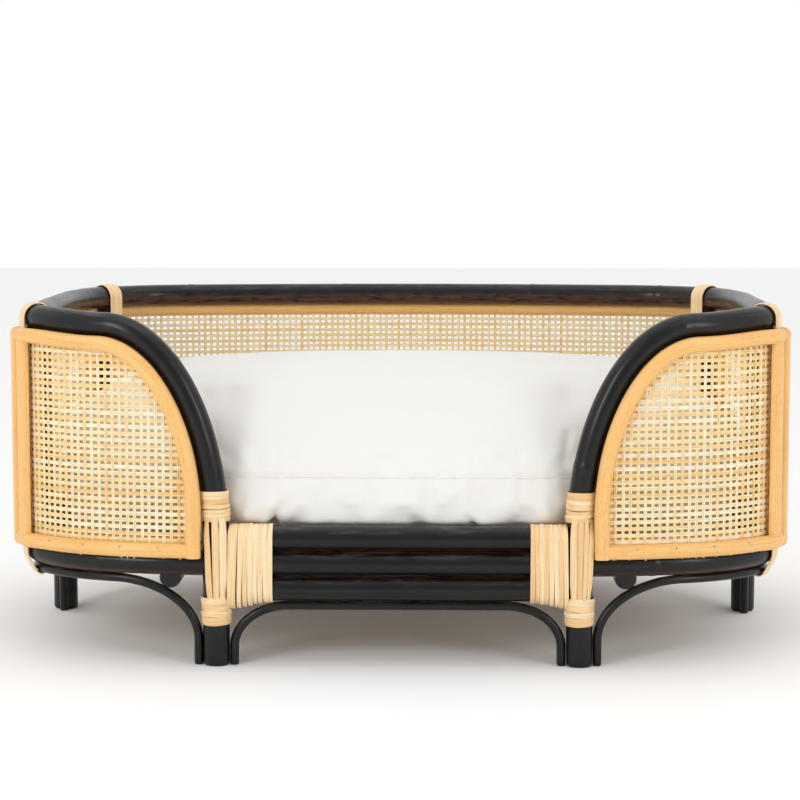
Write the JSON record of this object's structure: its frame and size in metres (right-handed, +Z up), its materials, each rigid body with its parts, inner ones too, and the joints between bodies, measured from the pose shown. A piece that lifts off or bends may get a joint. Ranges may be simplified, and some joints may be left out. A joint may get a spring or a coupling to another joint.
{
  "type": "rattan pet bed",
  "caption": "Low pet day-bed of bent black rattan poles with curved cane webbing panels, peel bindings, arched leg braces and a thick loose canvas cushion.",
  "frame": {"origin": "on the floor, under the middle of the whole bed", "axes": "+X to the bed's right seen from its open front, +Y to the back, +Z up"},
  "size_m": [0.7048, 0.4938, 0.3129],
  "materials": {
    "black_rattan": "black paint, satin, rubbed brown where poles touch",
    "batten": "natural split rattan, clear satin lacquer",
    "cane_webbing": "natural woven cane, matt",
    "peel": "natural rattan peel, semi-matt",
    "plain_wood": "planed, bare",
    "steel": "plain steel",
    "canvas": "off-white cotton canvas",
    "filling": "polyester fibre filling"
  },
  "bodies": {
    "frame": {"back_arch": "black_rattan", "back_battens": "batten", "back_cane": "cane_webbing", "back_inner_battens": "batten", "back_seat_rail": "black_rattan", "back_top_rail": "black_rattan", "batten_nails": "steel", "frame_screws": "steel", "front_arch": "black_rattan", "front_rail_bottom": "black_rattan", "front_rail_middle": "black_rattan", "front_rail_top": "black_rattan", "joint_dowels": "plain_wood", "left_arm_post": "black_rattan", "left_back_corner_post": "black_rattan", "left_back_corner_strap": "peel", "left_back_leg": "black_rattan", "left_front_corner_post": "black_rattan", "left_front_corner_strap": "peel", "left_inner_battens": "batten", "left_lower_post_binding": "peel", "left_post_lashing": "peel", "left_rail_end_binding": "peel", "left_rear_arch": "black_rattan", "left_side_battens": "batten", "left_side_cane": "cane_webbing", "left_side_leg": "black_rattan", "left_side_seat_rail": "black_rattan", "left_side_top_rail": "black_rattan", "left_upper_post_binding": "peel", "left_wing_arch": "black_rattan", "left_wing_battens": "batten", "left_wing_cane": "cane_webbing", "left_wing_seat_rail": "black_rattan", "right_arm_post": "black_rattan", "right_back_corner_post": "black_rattan", "right_back_corner_strap": "peel", "right_back_leg": "black_rattan", "right_front_corner_post": "black_rattan", "right_front_corner_strap": "peel", "right_inner_battens": "batten", "right_lower_post_binding": "peel", "right_post_lashing": "peel", "right_rail_end_binding": "peel", "right_rear_arch": "black_rattan", "right_side_battens": "batten", "right_side_cane": "cane_webbing", "right_side_leg": "black_rattan", "right_side_seat_rail": "black_rattan", "right_side_top_rail": "black_rattan", "right_upper_post_binding": "peel", "right_wing_arch": "black_rattan", "right_wing_battens": "batten", "right_wing_cane": "cane_webbing", "right_wing_seat_rail": "black_rattan", "seat_bearers": "black_rattan", "seat_slats": "plain_wood"},
    "cushion": {"cushion_filling": "filling", "cushion_lower_cover": "canvas", "cushion_upper_cover": "canvas"}
  },
  "joints": [
    {"name": "cushion_lift", "type": "slide", "parent": "frame", "child": "cushion", "axis": [0, 0, 1], "range_m": [0, 0.3]}
  ]
}
